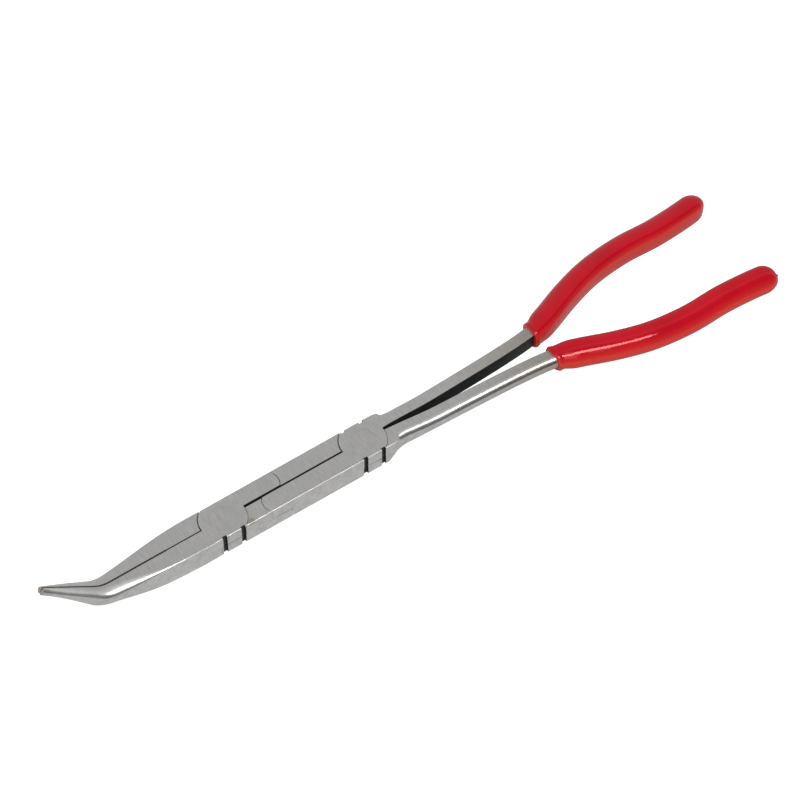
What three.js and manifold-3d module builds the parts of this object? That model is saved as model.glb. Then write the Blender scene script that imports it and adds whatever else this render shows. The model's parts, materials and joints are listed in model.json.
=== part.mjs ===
// Long-reach needle-nose pliers with a double joint and a nose bent upwards.
// Millimetres. +X runs from the nose to the handles, +Y to the right-hand side, +Z up.
// The origin is the handle pivot's axis, at the underside of the flat plates.
import * as THREE from 'three';
import { mergeVertices } from 'three/addons/utils/BufferGeometryUtils.js';
import Module from 'manifold-3d';

const wasm = await Module();
wasm.setup();

// ---- flat plates and their two half-lap joints ----
const PLATE_THICKNESS = 10.3;
const PIVOT_SPACING = 64.7; // jaw pivot to handle pivot
const JAW_HALF_WIDTH = 8.1; // of the plates, at the jaw pivot
const HANDLE_HALF_WIDTH = 8.35; // of the plates, at the handle pivot
const HEEL_LENGTH = 9.9; // plates behind the handle pivot
const LAP_RADIUS = HANDLE_HALF_WIDTH + 1.2; // round ends that overlap at both pivots, out past the sides
const TAIL_SLOT = 1.2; // between the two jaws' tails
const ARM_SLOT = 0.8; // between the two arms, and between the two heels

// ---- link joints, where each jaw's tail laps an arm ----
const LINK_BACKSET = 21.8; // behind the jaw pivot
const LINK_OFFSET = 4.3; // from the centreline
const LINK_RADIUS = HANDLE_HALF_WIDTH - LINK_OFFSET + 1.75; // round ends, out past the sides

// ---- rivets ----
const JAW_RIVET = { shank: 4.2, head: 5.6 };
const HANDLE_RIVET = { shank: 3.9, head: 5.1 };
const LINK_RIVET = { shank: 2.2, head: 2.9 };
const HEAD_RIM = 0.6; // straight rim of a countersunk head
const HEAD_TAPER = 1.6; // cone below that rim

// ---- side notches beside the pivots ----
const NOTCH_OFFSET = 4.15;
const NOTCH_WIDTH = 1.9;
const NOTCH_DEPTH = 1.0;

// ---- clearances ----
const RUNNING_GAP = 0.3; // between pieces that lie face to face
const OPEN_PIVOT_GAP = 0.5; // at the left link's rivet, which the joint tree leaves open, and in the arms' link pockets
const JAW_SLIT = 0.5; // between the closed jaws

// ---- nose ----
const NOSE_STRAIGHT = 53.7; // jaw pivot to the bend, along the top edge
const NOSE_BENT = 30.2; // bend to tip, along the top edge
const NOSE_ANGLE = 40; // degrees, upwards
const NOSE_BEND_RADIUS = 9;
const NOSE_TAPER_START = 12; // ahead of the jaw pivot: the sides draw in from here
const NOSE_THIN_START = 34; // and the underside rises from here
const NOSE_ROUND_START = 20; // and the outer edges round off from here
const NOSE_ROUND_END = 66;
const NOSE_SIDE_CURVE = 1.5; // how late the sides draw in
const NOSE_KEEL_CURVE = 1.7; // how late the underside rises
const TIP_HEIGHT = 3.2;
const TIP_HALF_WIDTH = 1.7;

// ---- handles: D-shaped rods inside dipped grips ----
const ROD_WIDTH = 6.4;
const ROD_HEIGHT = 7.0;
const SHOULDER_LENGTH = 6.5; // plate section to rod section
const ROD_OVERLAP = 1.6; // rod runs this far into the heel
const COLLAR_AT = 88; // handle pivot to the front of the grips
const COLLAR_OFFSET = 5; // rod's flat inner face to the centreline there
const HANDLE_REACH = 188.6; // handle pivot to the ends of the grips
// S-bend inside the grips: share of the grip's length, and offset of the same face
const GRIP_BENDS = [[0.1, 8.2], [0.25, 14], [0.39, 18], [0.56, 19.9], [0.73, 19.5], [0.88, 20.4], [1, 21.9]];
const GRIP_WALL = 1.9;
const GRIP_CORNER = 2.4; // radius of the two inner edges
const GRIP_DOME = 5.2; // rounded end
const DOME_TURN = 0.46 * Math.PI; // the dome ends a little short of its pole
const GRIP_LIP = 4; // length over which the wall builds up from the collar
const COLLAR_SCALE = 0.84; // section of the collar against the full grip
const CORE_SHORTFALL = 7; // rod stops this far inside the grip's end

// ---- smoothness ----
const NOSE_STEPS = 34;
const ROD_STEPS = 36;
const GRIP_STEPS = 30;
const DOME_STEPS = 4;
const SECTION_STEPS = 6;
const CIRCLE_STEPS = 16;
const MERGE_TOLERANCE = 1e-4;
const SQUARE_POWER = 14; // superellipse power of a nearly square section
const ROUND_POWER = 2.3; // and of a nearly round one

const COLLAR_SEARCH_STEPS = 20;
const CUT_MARGIN = 1; // cutters reach this far past the faces that they cut
const MID_HEIGHT = PLATE_THICKNESS / 2;
const JAW_PIVOT = new THREE.Vector2(-PIVOT_SPACING, 0);
const HANDLE_PIVOT = new THREE.Vector2(0, 0);
const LINK = new THREE.Vector2(-PIVOT_SPACING + LINK_BACKSET, LINK_OFFSET);

// The two layers of a half-lap, with a running gap between them
const TOP_LAYER = [MID_HEIGHT + RUNNING_GAP / 2, PLATE_THICKNESS];
const BOTTOM_LAYER = [0, MID_HEIGHT - RUNNING_GAP / 2];
const FULL_HEIGHT = [0, PLATE_THICKNESS];
const THROUGH = [-CUT_MARGIN, PLATE_THICKNESS + CUT_MARGIN];
const UNDER_TOP_LAYER = [THROUGH[0], TOP_LAYER[0]];
const OVER_BOTTOM_LAYER = [BOTTOM_LAYER[1], THROUGH[1]];

// ---------- geometry helpers ----------

function smoothStep(from, to, x) {
  return THREE.MathUtils.smoothstep(x, from, to);
}

function mapPoints(geometry, place) {
  const points = geometry.attributes.position;
  const point = new THREE.Vector3();
  for (let i = 0; i < points.count; i += 1) {
    point.fromBufferAttribute(points, i);
    const moved = place(point.x, point.y, point.z);
    points.setXYZ(i, moved.x, moved.y, moved.z);
  }
  return geometry;
}

function signedVolume(geometry) {
  const points = geometry.attributes.position;
  const corners = [new THREE.Vector3(), new THREE.Vector3(), new THREE.Vector3()];
  let volume = 0;
  for (let i = 0; i < geometry.index.count; i += 3) {
    corners.forEach((corner, k) => corner.fromBufferAttribute(points, geometry.index.getX(i + k)));
    volume += corners[0].dot(corners[1].cross(corners[2])) / 6;
  }
  return volume;
}

// A closed geometry as a manifold solid, turned so that its faces point outwards
function toSolid(geometry) {
  geometry.deleteAttribute('normal');
  geometry.deleteAttribute('uv');
  const merged = mergeVertices(geometry, MERGE_TOLERANCE);
  const triangles = new Uint32Array(merged.index.array);
  if (signedVolume(merged) < 0) triangles.reverse();
  const positions = new Float32Array(merged.attributes.position.array);
  return new wasm.Manifold(new wasm.Mesh({ numProp: 3, vertProperties: positions, triVerts: triangles }));
}

function toGeometry(solid) {
  const mesh = solid.getMesh();
  const geometry = new THREE.BufferGeometry();
  geometry.setAttribute('position', new THREE.BufferAttribute(new Float32Array(mesh.vertProperties), 3));
  geometry.setIndex(new THREE.BufferAttribute(new Uint32Array(mesh.triVerts), 1));
  geometry.computeVertexNormals();
  return geometry;
}

function join(solids) {
  return solids.reduce((whole, solid) => whole.add(solid));
}

function prism(shape, [low, high]) {
  const options = { depth: high - low, bevelEnabled: false, curveSegments: CIRCLE_STEPS };
  return toSolid(new THREE.ExtrudeGeometry(shape, options).translate(0, 0, low));
}

function disc(centre, radius, layer) {
  const shape = new THREE.Shape();
  shape.absarc(centre.x, centre.y, radius, 0, 2 * Math.PI, false);
  return prism(shape, layer);
}

function box(xs, ys, zs) {
  const size = [xs, ys, zs].map(([low, high]) => high - low);
  const middle = [xs, ys, zs].map(([low, high]) => (low + high) / 2);
  return toSolid(new THREE.BoxGeometry(...size).translate(...middle));
}

function mirrored(solid) {
  return toSolid(toGeometry(solid).scale(1, -1, 1));
}

// Turned half round the tool's long axis at mid thickness: swaps sides and layers
function turnedOver(solid) {
  return toSolid(toGeometry(solid).scale(1, -1, -1).translate(0, 0, PLATE_THICKNESS));
}

// ---------- plates ----------

function plateHalfWidth(x) {
  return THREE.MathUtils.clamp(
    THREE.MathUtils.mapLinear(x, -PIVOT_SPACING, 0, JAW_HALF_WIDTH, HANDLE_HALF_WIDTH),
    JAW_HALF_WIDTH,
    HANDLE_HALF_WIDTH,
  );
}

// One side (+1 right, -1 left) of the plate outline, from x to x, out from an inner edge
function strip(side, [from, to], inner, layer) {
  const shape = new THREE.Shape([
    new THREE.Vector2(from, side * inner),
    new THREE.Vector2(to, side * inner),
    new THREE.Vector2(to, side * plateHalfWidth(to)),
    new THREE.Vector2(from, side * plateHalfWidth(from)),
  ]);
  return prism(shape, layer);
}

// A lap's round end, kept within the plates' two sides
function lapDisc(centre, layer) {
  const reach = [centre.x - LAP_RADIUS, centre.x + LAP_RADIUS];
  const sides = [1, -1].map((side) => strip(side, reach, 0, layer));
  return disc(centre, LAP_RADIUS, layer).intersect(join(sides));
}

// The round end of a tail or an arm at the link on one side (+1 right, -1 left)
function linkEnd(side, inner, layer) {
  const centre = new THREE.Vector2(LINK.x, side * LINK.y);
  const reach = [centre.x - LINK_RADIUS, centre.x + LINK_RADIUS];
  return disc(centre, LINK_RADIUS, layer).intersect(strip(side, reach, inner, layer));
}

function linkPocket(side, gap, layer) {
  return disc(new THREE.Vector2(LINK.x, side * LINK.y), LINK_RADIUS + gap, layer);
}

// A pair of square notches through one side of the plates
function notches(pivot, side) {
  const edge = plateHalfWidth(pivot.x);
  const depths = [side * (edge - NOTCH_DEPTH), side * (edge + CUT_MARGIN)].sort((a, b) => a - b);
  const cuts = [-NOTCH_OFFSET, NOTCH_OFFSET].map((offset) => {
    const middle = pivot.x + offset;
    return box([middle - NOTCH_WIDTH / 2, middle + NOTCH_WIDTH / 2], depths, THROUGH);
  });
  return join(cuts);
}

// ---------- rivets ----------

// A rivet with a countersunk head at each face; grow gives the hole that it passes through
function rivetSolid(size, centre, grow) {
  const rim = HEAD_RIM + grow;
  const taper = HEAD_RIM + HEAD_TAPER + grow;
  const ends = grow > 0 ? THROUGH : FULL_HEIGHT;
  const profile = [
    [0, ends[0]],
    [size.head + grow, ends[0]],
    [size.head + grow, rim],
    [size.shank + grow, taper],
    [size.shank + grow, PLATE_THICKNESS - taper],
    [size.head + grow, PLATE_THICKNESS - rim],
    [size.head + grow, ends[1]],
    [0, ends[1]],
  ].map(([radius, height]) => new THREE.Vector2(radius, height));
  const geometry = new THREE.LatheGeometry(profile, 2 * CIRCLE_STEPS);
  return toSolid(geometry.rotateX(Math.PI / 2).translate(centre.x, centre.y, 0));
}

const RIVETS = {
  jaw: { size: JAW_RIVET, centre: JAW_PIVOT },
  handle: { size: HANDLE_RIVET, centre: HANDLE_PIVOT },
  rightLink: { size: LINK_RIVET, centre: LINK },
  leftLink: { size: LINK_RIVET, centre: new THREE.Vector2(LINK.x, -LINK.y) },
};

function rivetHoles() {
  const gaps = { jaw: RUNNING_GAP, handle: RUNNING_GAP, rightLink: RUNNING_GAP, leftLink: OPEN_PIVOT_GAP };
  return join(Object.entries(RIVETS).map(([name, rivet]) => rivetSolid(rivet.size, rivet.centre, gaps[name])));
}

// ---------- half sections swept along the tool ----------

// The unit half-disc is extruded in steps, and place() puts each of its points:
// u runs out from the flat inner face, v up it, w from the first section to the last.
function sweptHalf(steps, place) {
  const shape = new THREE.Shape();
  shape.absarc(0, 0, 1, -Math.PI / 2, Math.PI / 2, false);
  shape.closePath();
  const options = { depth: 1, steps, bevelEnabled: false, curveSegments: SECTION_STEPS };
  return toSolid(mapPoints(new THREE.ExtrudeGeometry(shape, options), place));
}

// Squares off a point of the unit circle: power 2 leaves it round, a high one is nearly square
function squared(value, power) {
  return Math.sign(value) * Math.abs(value) ** (2 / power);
}

// ---------- jaws ----------

function noseHalfWidth(s) {
  const share = Math.max(0, (s - NOSE_TAPER_START) / (NOSE_STRAIGHT + NOSE_BENT - NOSE_TAPER_START));
  return TIP_HALF_WIDTH + (JAW_HALF_WIDTH - TIP_HALF_WIDTH) * (1 - share ** NOSE_SIDE_CURVE);
}

function noseHeight(s) {
  const share = Math.max(0, (s - NOSE_THIN_START) / (NOSE_STRAIGHT + NOSE_BENT - NOSE_THIN_START));
  return TIP_HEIGHT + (PLATE_THICKNESS - TIP_HEIGHT) * (1 - share ** NOSE_KEEL_CURVE) ** 2;
}

// The top edge of the nose at s from the jaw pivot: its place in the XZ plane and its slope
function noseTop(s) {
  const angle = THREE.MathUtils.degToRad(NOSE_ANGLE);
  const tangent = NOSE_BEND_RADIUS * Math.tan(angle / 2);
  const arc = NOSE_BEND_RADIUS * angle;
  const start = NOSE_STRAIGHT - tangent;
  const turned = THREE.MathUtils.clamp((s - start) / arc, 0, 1) * angle;
  const beyond = Math.max(0, s - start - arc);
  const ahead = Math.min(s, start) + NOSE_BEND_RADIUS * Math.sin(turned) + beyond * Math.cos(angle);
  const rise = NOSE_BEND_RADIUS * (1 - Math.cos(turned)) + beyond * Math.sin(angle);
  return { x: JAW_PIVOT.x - ahead, z: PLATE_THICKNESS + rise, slope: turned };
}

function rightNose() {
  const from = LAP_RADIUS / 2;
  const angle = THREE.MathUtils.degToRad(NOSE_ANGLE);
  const shortening = NOSE_BEND_RADIUS * (2 * Math.tan(angle / 2) - angle);
  const length = NOSE_STRAIGHT + NOSE_BENT - shortening - from;
  return sweptHalf(NOSE_STEPS, (u, v, w) => {
    const s = from + w * length;
    const top = noseTop(s);
    const round = smoothStep(NOSE_ROUND_START, NOSE_ROUND_END, s);
    const power = SQUARE_POWER * (ROUND_POWER / SQUARE_POWER) ** round;
    const drop = (noseHeight(s) * (1 - squared(v, power))) / 2;
    const out = JAW_SLIT / 2 + (noseHalfWidth(s) - JAW_SLIT / 2) * squared(u, power);
    return new THREE.Vector3(top.x - drop * Math.sin(top.slope), out, top.z - drop * Math.cos(top.slope));
  });
}

// The left jaw's plate: left at the nose, top layer at the jaw pivot, right at its tail
function leftJawPlate() {
  const front = [JAW_PIVOT.x - LAP_RADIUS - CUT_MARGIN, JAW_PIVOT.x];
  const tail = [JAW_PIVOT.x, LINK.x];
  const bodies = join([
    strip(-1, front, JAW_SLIT / 2, FULL_HEIGHT),
    strip(1, tail, TAIL_SLOT / 2, FULL_HEIGHT),
    lapDisc(JAW_PIVOT, TOP_LAYER),
    linkEnd(1, TAIL_SLOT / 2, TOP_LAYER),
  ]);
  return bodies
    .subtract(disc(JAW_PIVOT, LAP_RADIUS + RUNNING_GAP, UNDER_TOP_LAYER))
    .subtract(linkPocket(1, RUNNING_GAP, UNDER_TOP_LAYER));
}

function jaws() {
  const nose = rightNose();
  const plate = leftJawPlate();
  const cuts = join([rivetHoles(), notches(JAW_PIVOT, -1)]);
  const lapAbove = disc(JAW_PIVOT, LAP_RADIUS + RUNNING_GAP, OVER_BOTTOM_LAYER);
  const lapBelow = disc(JAW_PIVOT, LAP_RADIUS + RUNNING_GAP, UNDER_TOP_LAYER);
  return {
    left: join([plate, mirrored(nose).subtract(lapBelow)]).subtract(cuts),
    right: join([turnedOver(plate), nose.subtract(lapAbove)]).subtract(cuts),
  };
}

// ---------- handles ----------

// The flat inner face of the right-hand rod, along its bare length and on inside the grip
const HANDLE_LINE = new THREE.CatmullRomCurve3(
  [
    new THREE.Vector3(HEEL_LENGTH - ROD_OVERLAP, ARM_SLOT / 2, MID_HEIGHT),
    new THREE.Vector3(COLLAR_AT, COLLAR_OFFSET, MID_HEIGHT),
    ...GRIP_BENDS.map(([share, offset]) => {
      return new THREE.Vector3(COLLAR_AT + share * (HANDLE_REACH - COLLAR_AT), offset, MID_HEIGHT);
    }),
  ],
  false,
  'centripetal',
);
const HANDLE_LENGTH = HANDLE_LINE.getLength();

// A point out from that face, at a share of its length
function besideLine(share, out, up) {
  const centre = HANDLE_LINE.getPointAt(share);
  const along = HANDLE_LINE.getTangentAt(share);
  return new THREE.Vector3(centre.x - along.y * out, centre.y + along.x * out, centre.z + up);
}

// Share of the line's length at which it passes the front of the grips
function collarShare() {
  let share = COLLAR_AT / HANDLE_REACH;
  for (let i = 0; i < COLLAR_SEARCH_STEPS; i += 1) {
    share += (COLLAR_AT - HANDLE_LINE.getPointAt(share).x) / HANDLE_LENGTH;
  }
  return share;
}
const COLLAR_SHARE = collarShare();

// The D-shaped rod: full plate section at the heel, then rounding down over the shoulder
function rodSection(distance) {
  const shoulder = smoothStep(ROD_OVERLAP, ROD_OVERLAP + SHOULDER_LENGTH, distance);
  return {
    width: THREE.MathUtils.lerp(HANDLE_HALF_WIDTH - ARM_SLOT / 2, ROD_WIDTH, shoulder),
    height: THREE.MathUtils.lerp(PLATE_THICKNESS, ROD_HEIGHT, shoulder),
    power: SQUARE_POWER * (ROUND_POWER / SQUARE_POWER) ** shoulder,
  };
}

function sweptRod(fromShare, toShare, grow, steps) {
  return sweptHalf(steps, (u, v, w) => {
    const share = THREE.MathUtils.lerp(fromShare, toShare, w);
    const section = rodSection(share * HANDLE_LENGTH);
    const out = (section.width + 2 * grow) * squared(u, section.power) - grow;
    return besideLine(share, out, (section.height / 2 + grow) * squared(v, section.power));
  });
}

// The right handle's plate: left along its arm, top layer at the handle pivot, right at its heel
function rightHandlePlate() {
  const arm = [LINK.x, HANDLE_PIVOT.x];
  const heel = [HANDLE_PIVOT.x, HEEL_LENGTH];
  const bodies = join([
    strip(-1, arm, ARM_SLOT / 2, FULL_HEIGHT),
    strip(1, heel, ARM_SLOT / 2, FULL_HEIGHT),
    lapDisc(HANDLE_PIVOT, TOP_LAYER),
    linkEnd(-1, ARM_SLOT / 2, TOP_LAYER),
  ]);
  return bodies
    .subtract(disc(HANDLE_PIVOT, LAP_RADIUS + RUNNING_GAP, UNDER_TOP_LAYER))
    .subtract(linkPocket(-1, OPEN_PIVOT_GAP, UNDER_TOP_LAYER));
}

function handles() {
  const rodEnd = 1 - CORE_SHORTFALL / HANDLE_LENGTH;
  const lap = disc(HANDLE_PIVOT, LAP_RADIUS + RUNNING_GAP, UNDER_TOP_LAYER);
  const rod = sweptRod(0, rodEnd, 0, ROD_STEPS).subtract(lap);
  const right = join([rightHandlePlate(), rod]);
  const cuts = join([rivetHoles(), notches(HANDLE_PIVOT, -1), notches(HANDLE_PIVOT, 1)]);
  return { right: right.subtract(cuts), left: turnedOver(right).subtract(cuts) };
}

// ---------- grips ----------

const GRIP_WIDTH = ROD_WIDTH + 2 * GRIP_WALL;
const GRIP_HEIGHT = ROD_HEIGHT + 2 * GRIP_WALL;

// Rounded D, flat towards the other grip
function gripShape() {
  const corner = GRIP_HEIGHT / 2 - GRIP_CORNER;
  const inner = GRIP_CORNER - GRIP_WIDTH / 2;
  const shape = new THREE.Shape();
  shape.moveTo(inner, -GRIP_HEIGHT / 2);
  shape.absellipse(inner, 0, GRIP_WIDTH - GRIP_CORNER, GRIP_HEIGHT / 2, -Math.PI / 2, Math.PI / 2, false, 0);
  shape.absarc(inner, corner, GRIP_CORNER, Math.PI / 2, Math.PI, false);
  shape.absarc(inner, -corner, GRIP_CORNER, Math.PI, 1.5 * Math.PI, false);
  return shape;
}

function rightGrip() {
  const steps = GRIP_STEPS + DOME_STEPS;
  const domeShare = GRIP_DOME / HANDLE_LENGTH;
  const place = (out, up, w) => {
    const step = w * steps;
    const dome = (Math.max(0, step - GRIP_STEPS) / DOME_STEPS) * DOME_TURN;
    const straight = THREE.MathUtils.lerp(COLLAR_SHARE, 1 - domeShare, Math.min(1, step / GRIP_STEPS));
    const share = straight + domeShare * Math.sin(dome);
    const lip = smoothStep(0, GRIP_LIP, (share - COLLAR_SHARE) * HANDLE_LENGTH);
    const scale = THREE.MathUtils.lerp(COLLAR_SCALE, 1, lip) * Math.cos(dome);
    return besideLine(share, ROD_WIDTH / 2 + out * scale, up * scale);
  };
  const options = { depth: 1, steps, bevelEnabled: false, curveSegments: SECTION_STEPS };
  const skin = toSolid(mapPoints(new THREE.ExtrudeGeometry(gripShape(), options), place));
  const rodEnd = 1 - (CORE_SHORTFALL - RUNNING_GAP) / HANDLE_LENGTH;
  const cavity = sweptRod(COLLAR_SHARE - CUT_MARGIN / HANDLE_LENGTH, rodEnd, RUNNING_GAP, GRIP_STEPS);
  return skin.subtract(cavity);
}

// ---------- materials and assembly ----------

function groundSteel() {
  return new THREE.MeshStandardMaterial({ color: 0xa6a5a3, roughness: 0.38, metalness: 1 });
}

function rivetSteel() {
  return new THREE.MeshStandardMaterial({ color: 0x9c9b99, roughness: 0.4, metalness: 1 });
}

function redVinyl() {
  return new THREE.MeshStandardMaterial({ color: 0xbe1622, roughness: 0.25, metalness: 0 });
}

function node(name, solid, material) {
  const mesh = new THREE.Mesh(toGeometry(solid), material);
  mesh.name = name;
  return mesh;
}

function rivetNode(name, rivet) {
  return node(name, rivetSolid(rivet.size, rivet.centre, 0), rivetSteel());
}

function buildPliers() {
  const pliers = new THREE.Group();
  const jaw = jaws();
  const handle = handles();
  const grip = rightGrip();
  pliers.add(
    node('left_jaw', jaw.left, groundSteel()),
    node('right_jaw', jaw.right, groundSteel()),
    node('left_handle', handle.left, groundSteel()),
    node('right_handle', handle.right, groundSteel()),
    node('left_grip', mirrored(grip), redVinyl()),
    node('right_grip', grip, redVinyl()),
    rivetNode('jaw_pivot_rivet', RIVETS.jaw),
    rivetNode('handle_pivot_rivet', RIVETS.handle),
    rivetNode('left_link_rivet', RIVETS.leftLink),
    rivetNode('right_link_rivet', RIVETS.rightLink),
  );
  return pliers;
}

export default buildPliers();
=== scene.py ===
# %% [markdown]
# # Long-reach pliers with a double joint
# The tool is four forged steel levers, four flush rivets and two dipped grips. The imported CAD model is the
# fixed frame: it says where every piece is and how it moves. Here each piece gets the shape and finish that
# the eye expects: fine seams, broken edges, a rounded nose, cross-ground steel and glossy dipped vinyl.

# %% Load the frame
import json
import math
import bmesh
import bpy
from mathutils import Matrix, Vector


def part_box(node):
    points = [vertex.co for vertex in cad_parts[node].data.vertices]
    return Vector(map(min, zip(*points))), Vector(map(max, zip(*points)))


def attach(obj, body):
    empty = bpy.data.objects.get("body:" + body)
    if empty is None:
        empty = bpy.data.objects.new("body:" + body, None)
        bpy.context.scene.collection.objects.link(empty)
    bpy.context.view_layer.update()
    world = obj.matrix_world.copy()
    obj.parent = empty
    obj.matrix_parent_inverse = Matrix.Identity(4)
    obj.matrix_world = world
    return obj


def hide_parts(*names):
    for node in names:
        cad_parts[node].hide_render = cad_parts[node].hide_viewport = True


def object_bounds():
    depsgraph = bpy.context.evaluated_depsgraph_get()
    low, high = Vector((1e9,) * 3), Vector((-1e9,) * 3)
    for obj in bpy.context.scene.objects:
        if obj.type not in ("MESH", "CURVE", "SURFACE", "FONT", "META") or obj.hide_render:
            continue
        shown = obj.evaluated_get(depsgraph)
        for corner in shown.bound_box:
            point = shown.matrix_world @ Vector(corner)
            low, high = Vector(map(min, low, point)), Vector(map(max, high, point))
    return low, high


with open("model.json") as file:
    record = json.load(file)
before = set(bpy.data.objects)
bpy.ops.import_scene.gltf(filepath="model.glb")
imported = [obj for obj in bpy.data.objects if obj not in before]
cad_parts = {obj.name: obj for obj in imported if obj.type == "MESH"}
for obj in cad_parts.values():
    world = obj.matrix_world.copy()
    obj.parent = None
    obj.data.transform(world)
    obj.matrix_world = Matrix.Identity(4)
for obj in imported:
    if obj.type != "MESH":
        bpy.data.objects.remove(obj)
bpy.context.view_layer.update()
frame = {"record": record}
MM = 0.001

# %% [markdown]
# ## Places
# The main places could be typed in again, but then they would drift away from the CAD. They are read from the
# CAD rivets' own boxes instead, which give both pivots, both links and the plates' thickness. Only the fine
# shapes below are stated as numbers, all in millimetres.

# %% Places measured on the frame


def centre_mm(node):
    low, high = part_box(node)
    return (low / MM + high / MM) / 2


JAW_PIVOT = centre_mm("jaw_pivot_rivet")
HANDLE_PIVOT = centre_mm("handle_pivot_rivet")
RIGHT_LINK = centre_mm("right_link_rivet")
LEFT_LINK = Vector((RIGHT_LINK.x, -RIGHT_LINK.y, RIGHT_LINK.z))
THICKNESS = (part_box("jaw_pivot_rivet")[1] / MM).z
MIDDLE = THICKNESS / 2
SPACING = HANDLE_PIVOT.x - JAW_PIVOT.x
print(f"pivots {SPACING:.1f} mm apart, plates {THICKNESS:.1f} mm thick")

# %% [markdown]
# ## Bars, spun pieces and blocks
# Every solid here is grown from a bmesh operator. A long bar is a grid rolled into a tube: the grid's columns
# become the points round one section and its rows the sections along the bar. A round piece is a profile spun
# about its axis, and a saw cut is a block. A curve with a bevel could be tapered, but its section would keep
# one shape all the way, so the rolled grid makes all the long pieces.

# %% Helpers that grow a solid
WELD = 1e-7
SPIN_STEPS = 96


def new_object(name, bm):
    bmesh.ops.recalc_face_normals(bm, faces=bm.faces[:])
    mesh = bpy.data.meshes.new(name)
    bm.to_mesh(mesh)
    bm.free()
    piece = bpy.data.objects.new(name, mesh)
    bpy.context.scene.collection.objects.link(piece)
    return piece


def rolled_tube(name, rings):
    """A closed bar through rings of points in millimetres, each ring in the same order."""
    around, along = len(rings[0]), len(rings)
    bm = bmesh.new()
    grid = bmesh.ops.create_grid(bm, x_segments=around, y_segments=along - 1, size=1)["verts"]
    for k, vert in enumerate(grid):
        row, column = divmod(k, around + 1)
        vert.co = rings[row][column % around] * MM
    bmesh.ops.remove_doubles(bm, verts=bm.verts[:], dist=WELD)
    ends = [e for e in bm.edges if e.is_boundary]
    bmesh.ops.holes_fill(bm, edges=ends, sides=0)
    return new_object(name, bm)


def spun(name, profile, centre):
    """A solid of revolution about the Z axis through centre, from (radius, height) pairs in millimetres."""
    bm = bmesh.new()
    verts = [bm.verts.new(Vector((centre.x + r, centre.y, z)) * MM) for r, z in profile]
    edges = [bm.edges.new(pair) for pair in zip(verts, verts[1:])]
    bmesh.ops.spin(
        bm, geom=verts + edges, cent=Vector((centre.x, centre.y, 0)) * MM, axis=(0, 0, 1),
        angle=2 * math.pi, steps=SPIN_STEPS, use_merge=True,
    )
    bmesh.ops.remove_doubles(bm, verts=bm.verts[:], dist=WELD)
    return new_object(name, bm)


def block(name, xs, ys, zs):
    bm = bmesh.new()
    bmesh.ops.create_cube(bm, size=1)
    size = [high - low for low, high in (xs, ys, zs)]
    middle = Vector([(low + high) / 2 for low, high in (xs, ys, zs)])
    bmesh.ops.scale(bm, vec=Vector(size) * MM, verts=bm.verts[:])
    bmesh.ops.translate(bm, vec=middle * MM, verts=bm.verts[:])
    return new_object(name, bm)


# %% [markdown]
# ## Cuts and twins
# Pieces are fitted together with the Boolean modifier, as a machinist saws and mills one bar, because the
# half-laps of the joint are exactly such cuts. The result is applied at once, so each cut starts from a plain
# mesh. The tool is nearly the same on its two sides, so most of the second half is a turned or mirrored twin.

# %% Helpers that cut and copy


def fitted(piece, tool, operation, keep_tool=False):
    """piece after one saw cut (DIFFERENCE), weld (UNION) or common part (INTERSECT) with tool."""
    cut = piece.modifiers.new("fit", "BOOLEAN")
    cut.object = tool
    cut.operation = operation
    cut.solver = "MANIFOLD"
    bpy.context.view_layer.update()
    result = bpy.data.meshes.new_from_object(piece.evaluated_get(bpy.context.evaluated_depsgraph_get()))
    piece.modifiers.clear()
    piece.data = result
    if not keep_tool:
        bpy.data.objects.remove(tool)
    return piece


def copied(piece, name):
    twin = piece.copy()
    twin.data = piece.data.copy()
    twin.name = name
    bpy.context.scene.collection.objects.link(twin)
    return twin


def turned_over(piece, name):
    """A copy turned half round the tool's long axis at mid thickness: swaps sides and layers."""
    twin = copied(piece, name)
    bm = bmesh.new()
    bm.from_mesh(twin.data)
    centre = Vector((0, 0, MIDDLE)) * MM
    bmesh.ops.rotate(bm, cent=centre, matrix=Matrix.Rotation(math.pi, 3, "X"), verts=bm.verts[:])
    bm.to_mesh(twin.data)
    bm.free()
    return twin


def mirrored(piece, name):
    """A copy reflected across the tool's middle plane: the same layer, the other side."""
    twin = copied(piece, name)
    bm = bmesh.new()
    bm.from_mesh(twin.data)
    bmesh.ops.scale(bm, vec=(1, -1, 1), verts=bm.verts[:])
    bmesh.ops.reverse_faces(bm, faces=bm.faces[:])
    bm.to_mesh(twin.data)
    bm.free()
    return twin


def mixed(a, b, share):
    return a + (b - a) * share


def share_of(low, high, x):
    """0 at low, 1 at high, held there beyond."""
    return min(1.0, max(0.0, (x - low) / (high - low)))


def eased(low, high, x):
    """share_of with a soft start and a soft stop."""
    share = share_of(low, high, x)
    return share * share * (3 - 2 * share)


def size_of(piece):
    return f"{piece.name}: {len(piece.data.vertices)} points, {len(piece.data.polygons)} faces"


# %% [markdown]
# ## The section of a lever
# Cut across, every lever is a plate with a flat top, a flat underside and outer edges that are broken or
# rounded by a quarter ellipse. Near the pivots the ellipse is a fraction of a millimetre. Along the nose and
# the rods it grows until the section is nearly a half round. A Bevel modifier keeps about one width along an
# edge, so one function draws the outline instead, and the roundings run into each other as on ground steel.

# %% Section outline
EDGE_STEPS = 12
BROKEN_EDGE = 0.4


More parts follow.
